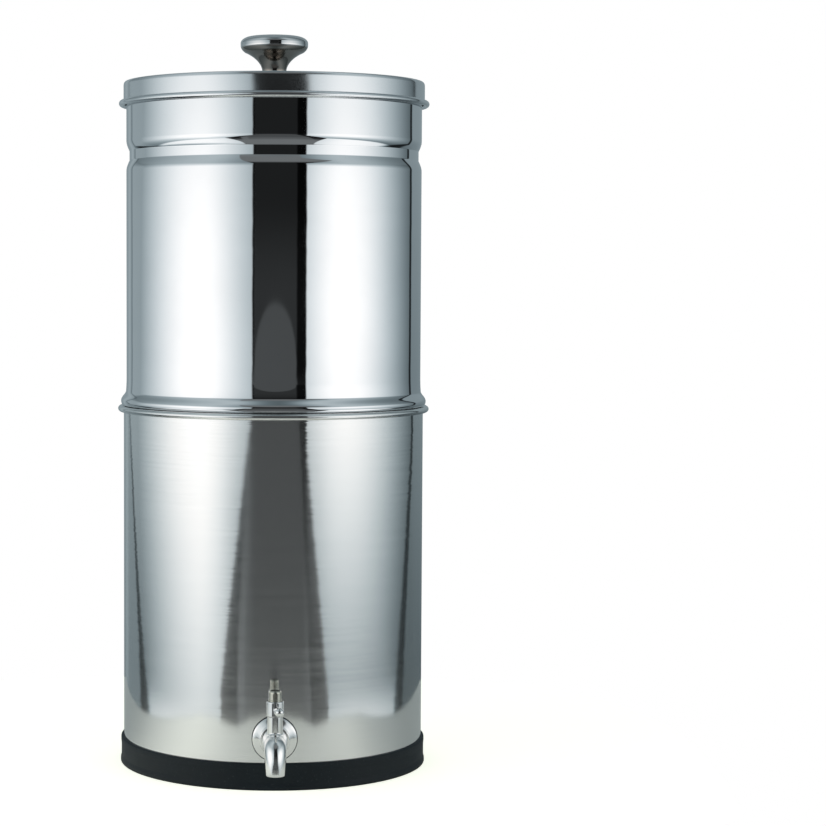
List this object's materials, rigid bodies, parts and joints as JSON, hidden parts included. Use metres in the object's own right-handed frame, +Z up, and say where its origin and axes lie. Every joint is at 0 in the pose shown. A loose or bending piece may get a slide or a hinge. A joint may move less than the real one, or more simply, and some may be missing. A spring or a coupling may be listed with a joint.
{
  "type": "gravity water filter with tap",
  "caption": "Tall round countertop water filter: two stacked steel chambers, lift-off lid with a knob, black rubber base ring and a quarter-turn lever tap.",
  "frame": {"origin": "centre of the base ring's underside, on the axis of the chambers", "axes": "+Z up along the chambers' axis, -Y towards the tap, +X to the right of someone facing the tap"},
  "size_m": [0.2491, 0.2939, 0.5814],
  "materials": {
    "polished_steel": "mirror polished stainless steel",
    "brushed_steel": "stainless steel brushed around the wall",
    "plain_steel": "plain machined steel",
    "rubber": "matte, finely grained",
    "carbon": "pressed carbon block, matte",
    "black_plastic": "moulded, satin"
  },
  "bodies": {
    "lower_unit": {"base_ring": "rubber", "lower_chamber": "brushed_steel", "tap_body": "polished_steel", "tap_escutcheon": "polished_steel", "tap_outer_gasket": "rubber", "tap_inner_gasket": "rubber", "tap_washer": "plain_steel", "tap_lock_nut": "plain_steel", "bonnet_bush": "plain_steel"},
    "tap_lever": {"valve_plug": "plain_steel", "stem_o_rings": "rubber", "lever_handle": "polished_steel", "lever_cap_nut": "polished_steel"},
    "upper_unit": {"upper_chamber": "polished_steel", "filter_element_left": "carbon", "filter_element_right": "carbon", "element_base_left": "black_plastic", "element_base_right": "black_plastic", "element_top_caps": "black_plastic", "element_gaskets": "rubber", "wing_nuts": "black_plastic", "blanking_plugs": "black_plastic", "plug_gaskets": "rubber", "plug_nuts": "black_plastic"},
    "lid_unit": {"lid": "polished_steel", "lid_knob": "polished_steel", "knob_washer": "plain_steel", "knob_screw": "plain_steel"}
  },
  "joints": [
    {"name": "tap_turn", "type": "hinge", "parent": "lower_unit", "child": "tap_lever", "pos_m": [0, -0.144, 0.066], "axis": [0, 0, 1], "range_deg": [0, 90]},
    {"name": "upper_lift", "type": "slide", "parent": "lower_unit", "child": "upper_unit", "axis": [0, 0, 1], "range_m": [0, 0.12]},
    {"name": "lid_lift", "type": "slide", "parent": "upper_unit", "child": "lid_unit", "axis": [0, 0, 1], "range_m": [0, 0.08]}
  ]
}
